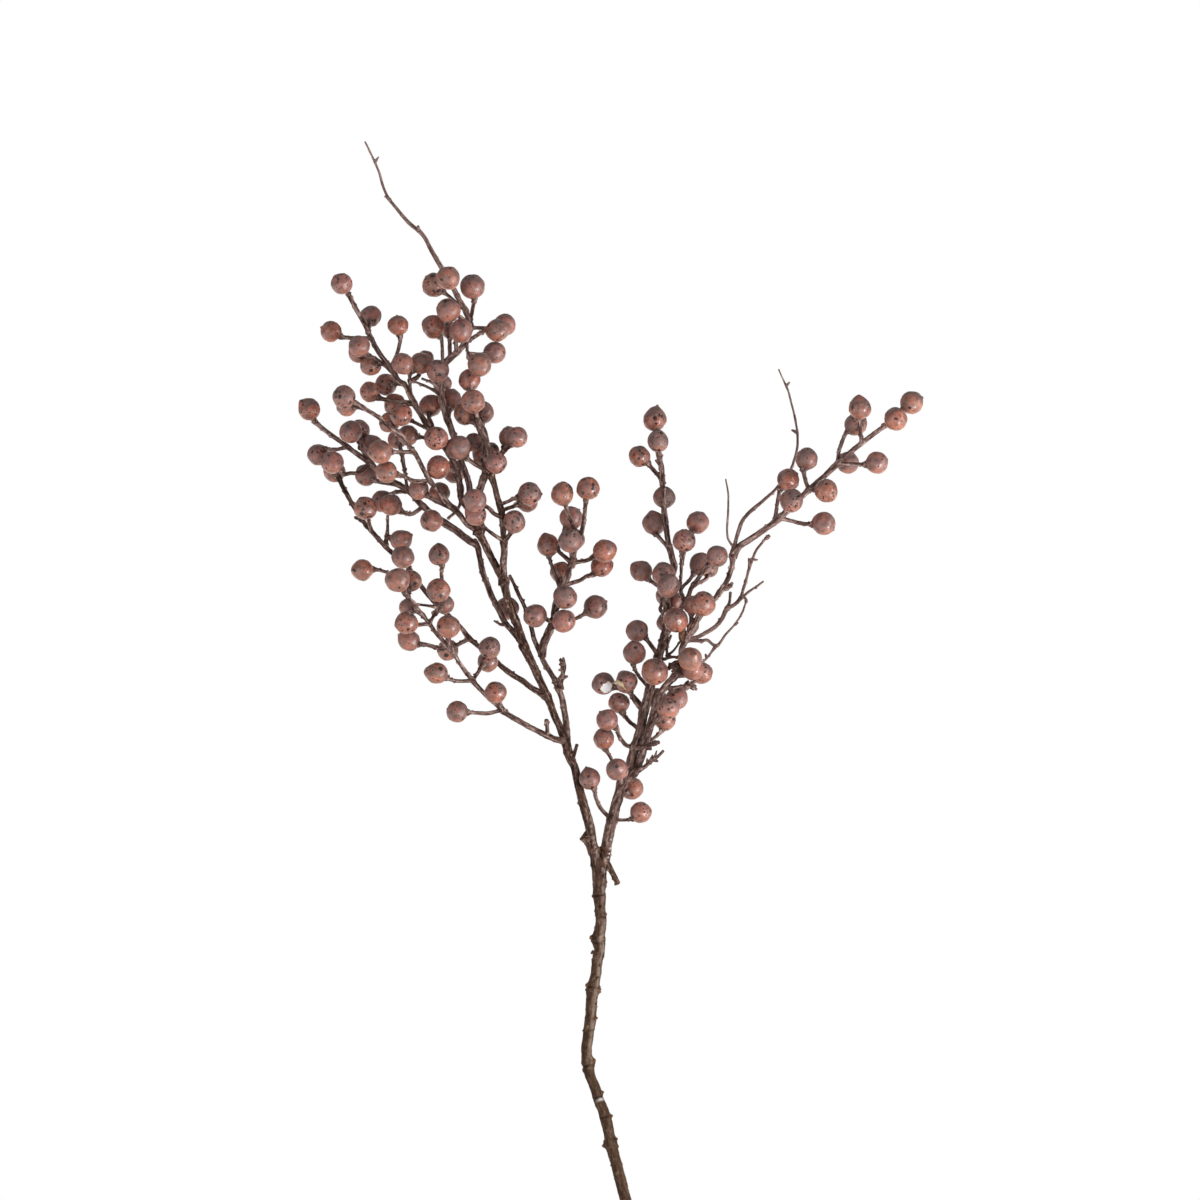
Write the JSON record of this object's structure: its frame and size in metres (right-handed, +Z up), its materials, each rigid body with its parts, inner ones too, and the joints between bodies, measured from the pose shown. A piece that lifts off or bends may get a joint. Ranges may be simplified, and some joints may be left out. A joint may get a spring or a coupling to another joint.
{
  "type": "dried eucalyptus pod stem in jug",
  "caption": "Tall dried stem with small round seed pods on forking twigs, standing in a plain glazed stoneware jug with a spout and a strap handle.",
  "frame": {"origin": "centre of the jug's flat underside", "axes": "+Z up along the stem, +X to the right in the front view, towards the jug's handle, with its spout towards -X, and +Y away from the front"},
  "size_m": [0.406, 0.1237, 0.9032],
  "materials": {
    "glaze": "satin off-white stoneware glaze with fine specks",
    "bark": "matt dry bark, dark grey-brown with paler ridges",
    "pods": "matt woody pods, dusty mauve-brown with fine dark pits"
  },
  "bodies": {
    "root": {"jug": "glaze", "trunk": "bark", "left_limb": "bark", "left_low_front_spray": "pods", "left_low_back_spray": "pods", "left_inner_spray": "pods", "left_outer_spray": "pods", "left_front_spray": "pods", "left_tall_spray": "pods", "left_middle_spray": "pods", "left_short_spray": "pods", "left_upright_spray": "pods", "right_limb": "pods", "right_second_limb": "pods", "right_thin_twigs": "bark", "right_short_spray": "pods", "right_outer_spray": "pods", "right_bare_twigs": "bark"}
  },
  "joints": []
}
